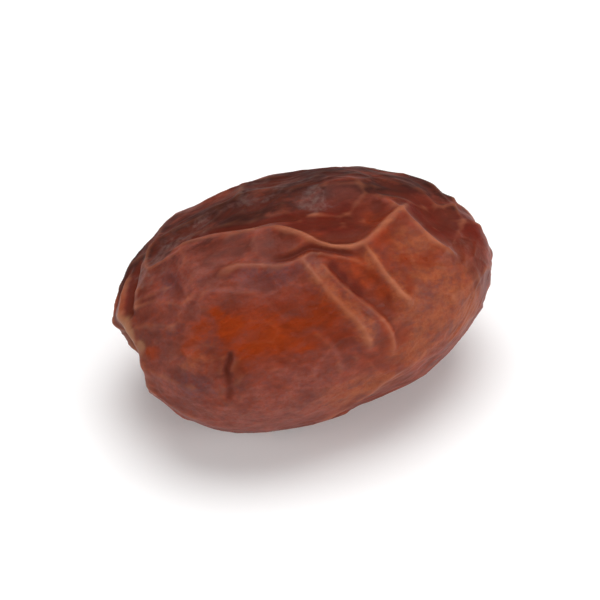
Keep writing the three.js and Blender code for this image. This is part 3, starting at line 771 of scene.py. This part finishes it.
# partly painted sheen: mauve streaked over the dull patches
colour = mixed(product(ragged("dull_and_sheen"), between(streaks, 0.7, 0.4, start=0.5)), colour, MAUVE)
colour = mixed(product(ragged("pale"), between(streaks, 0.7, 0.4, start=0.6)), colour, TAN)

# dusky streaks, patches and grain, and the smaller patches over them
colour = mixed(between(streaks, 0.54, 0.68, end=0.5), colour, DUSK)
# partly painted shade and painted sheen: the dusky patches
colour = mixed(product(ragged("dusky"), 0.85), colour, DUSK)
colour = mixed(between(grain, 0.45, 0.64, end=0.35), colour, DUSK)
colour = mixed(between(fine_grain, 0.44, 0.64, end=0.45), colour, RUST)
colour = mixed(product(ragged("rust"), 0.85), colour, RUST)
colour = mixed(product(ragged("brown"), 0.8), colour, BROWN)
# partly painted shadow: the crown and the upper ends darkened nearly to black
colour = mixed(ragged("ripe_and_shadow"), colour, PURPLE)
# partly painted shade: deep red in the creases and hollows, the deeper the crease the more of it
colour = mixed(between(mask("valley"), 0.05, 0.8), colour, DEEP_RED)
for name in ("orange", "clear"):
    colour = mixed(ragged(name), colour, AMBER)

# flecks darker and lighter than the skin, half as strong where it is clear or pale
fleck = between(cloudy(size=0.9, detail=5.0, rough=0.72, where=drawn_out), 0.32, 0.68, start=0.78, end=1.22)
smooth_skin = product(maths("MAXIMUM", mask("clear"), mask("pale")), 0.5)
colour = mixed(maths("SUBTRACT", 1.0, smooth_skin), colour, fleck, "MULTIPLY")

# painted shade: brown in the hollows, less so where the skin is bright, and a painted highlight of light
# tan on the crests, less so on the crown
bright_skin = maths("MAXIMUM", mask("pale"), mask("orange"))
for name, least, most in (("hollow", 0.3, 0.7), ("sunken", 0.5, 0.9)):
    shaded = product(mask(name), between(smear, 0.3, 0.7, start=least, end=most))
    colour = mixed(product(shaded, between(bright_skin, 0.2, 0.9, start=1.0, end=0.3)), colour, BROWN)
# painted highlight: light tan where the relief stands out
crest_highlight = product(mask("raised"), between(smear, 0.3, 0.7, start=0.35, end=0.85))
colour = mixed(product(crest_highlight, between(mask("ripe_and_shadow"), 0.0, 1.0, start=1.0, end=0.3)), colour, HIGHLIGHT_TAN)

# dust of the bloom, and the tans of the scar, in fibres, and of the seat's rim
specks = between(cloudy(size=0.5, detail=2.0, rough=0.5), 0.32, 0.68, start=0.15, end=0.5)
powder = product(specks, between(cloudy(size=1.8), 0.4, 0.62))
colour = mixed(product(ragged("bloom"), powder), colour, DUST)
fibres = product(between(mask("fibre"), 0.0, 1.0, start=0.55, end=0.9), between(grain, 0.3, 0.7, start=0.4))
colour = mixed(product(ragged("scar"), fibres), colour, SCAR_TAN)
colour = mixed(product(ragged("rim"), between(smear, 0.7, 0.3, start=0.6, end=0.95)), colour, RIM_TAN)
colour = mixed(product(mask("pit"), 0.8), colour, BROWN)

satin = between(cloudy(size=2.4, detail=4.0), 0.3, 0.7, start=SATIN[0], end=SATIN[1])
clinging = maths("MAXIMUM", ragged("clear"), product(mask("rust"), 0.7))
dusty = maths("MAXIMUM", mask("ripe_and_shadow"), mask("valley"))
rough = maths("SUBTRACT", satin, product(clinging, MORE_GLOSS))
rough = maths("ADD", rough, product(dusty, LESS_GLOSS))

dents = put(
    "Bump", Strength=DENT_STRENGTH, Distance=DENT_DEPTH * MM,
    Height=cloudy(size=DENT_SIZE, detail=4.0, rough=0.6),
)
pores = put(
    "Bump", Strength=PORE_STRENGTH, Distance=PORE_DEPTH * MM,
    Height=cloudy(size=PORE_SIZE, detail=2.0, rough=0.5), Normal=dents.outputs["Normal"],
)

join(colour, shader.inputs["Base Color"])
join(rough, shader.inputs["Roughness"])
join(pores.outputs["Normal"], shader.inputs["Normal"])
shader.inputs["Specular IOR Level"].default_value = SHINE
shader.inputs["Subsurface Weight"].default_value = TRANSLUCENCE
shader.inputs["Subsurface Radius"].default_value = LIGHT_REACH
shader.inputs["Subsurface Scale"].default_value = LIGHT_DEPTH * MM
mesh.materials.append(skin)

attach(date, "root")
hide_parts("date")

# The surface: a plain matt white sheet of paper that runs past the view on all sides. It glows a little,
# as thin paper does with some light behind it. It isn't part of the fruit.
SHEET_SIZE = 3.0
SHEET_WHITE = (0.9, 0.9, 0.9, 1)
SHEET_ROUGH = 0.9
SHEET_GLOW = 0.12

bpy.ops.mesh.primitive_plane_add(size=SHEET_SIZE)
surface = bpy.context.object
surface.name = "surface"
sheet = bpy.data.materials.new("white_paper")
sheet.use_nodes = True
sheet_inputs = sheet.node_tree.nodes["Principled BSDF"].inputs
sheet_inputs["Base Color"].default_value = SHEET_WHITE
sheet_inputs["Roughness"].default_value = SHEET_ROUGH
sheet_inputs["Emission Color"].default_value = (1, 1, 1, 1)
sheet_inputs["Emission Strength"].default_value = SHEET_GLOW
surface.data.materials.append(sheet)

# Light and camera: a white tent, dim round the sides, with one narrow bright patch overhead and a little
# behind; a soft light from the right and a weaker one from the left; and a long lens from the photograph's
# angle, 45 degrees down on the front of the date and 18 degrees round to its stem end.
TENT_DIM = 0.18
TENT_BRIGHT = 4.6
BRIGHT_TOWARDS = (0.12, 0.22, 0.96)
BRIGHT_EDGE = 0.84  # cosine of the angle from its middle at which the patch ends
BRIGHT_CORE = 0.97  # and of the angle within which it is brightest
LIGHT_SIZE = 0.30
LIGHTS_AIM = (0, 0, 0.01)
AZIMUTH = math.radians(-18)
ELEVATION = math.radians(45)
CAMERA_DISTANCE = 0.65
VIEW_WIDTH = 0.058  # across the picture at the date's middle


def soft_light(name, place, power):
    lamp = bpy.data.lights.new(name, "AREA")
    lamp.size = LIGHT_SIZE
    lamp.energy = power
    holder = bpy.data.objects.new(name, lamp)
    holder.location = place
    holder.rotation_euler = (Vector(LIGHTS_AIM) - Vector(place)).to_track_quat("-Z", "Y").to_euler()
    bpy.context.scene.collection.objects.link(holder)


soft_light("right", (0.46, -0.44, 0.22), 2.1)
soft_light("left", (-0.55, -0.12, 0.30), 1.0)

tent = bpy.data.worlds.new("tent")
tent.use_nodes = True
tent_nodes = tent.node_tree.nodes
tent_links = tent.node_tree.links
towards_bright = tent_nodes.new("ShaderNodeVectorMath")
towards_bright.operation = "DOT_PRODUCT"
towards_bright.inputs[1].default_value = Vector(BRIGHT_TOWARDS).normalized()
brightness = tent_nodes.new("ShaderNodeMapRange")
brightness.interpolation_type = "SMOOTHSTEP"
brightness.inputs["From Min"].default_value = BRIGHT_EDGE
brightness.inputs["From Max"].default_value = BRIGHT_CORE
brightness.inputs["To Min"].default_value = TENT_DIM
brightness.inputs["To Max"].default_value = TENT_BRIGHT
tent_links.new(tent_nodes.new("ShaderNodeTexCoord").outputs["Generated"], towards_bright.inputs[0])
tent_links.new(towards_bright.outputs["Value"], brightness.inputs["Value"])
tent_links.new(brightness.outputs["Result"], tent_nodes["Background"].inputs["Strength"])
tent_nodes["Background"].inputs["Color"].default_value = (1, 1, 1, 1)
bpy.context.scene.world = tent
bpy.context.scene.view_settings.view_transform = "Standard"

towards_camera = Vector((
    math.sin(AZIMUTH) * math.cos(ELEVATION),
    -math.cos(AZIMUTH) * math.cos(ELEVATION),
    math.sin(ELEVATION),
))
lens = bpy.data.cameras.new("camera")
lens.lens = lens.sensor_width * CAMERA_DISTANCE / VIEW_WIDTH
camera = bpy.data.objects.new("camera", lens)
camera.location = Vector((*shift, HEIGHT / 2 - SAG)) * MM + towards_camera * CAMERA_DISTANCE
camera.rotation_euler = (-towards_camera).to_track_quat("-Z", "Y").to_euler()
bpy.context.scene.collection.objects.link(camera)
bpy.context.scene.camera = camera
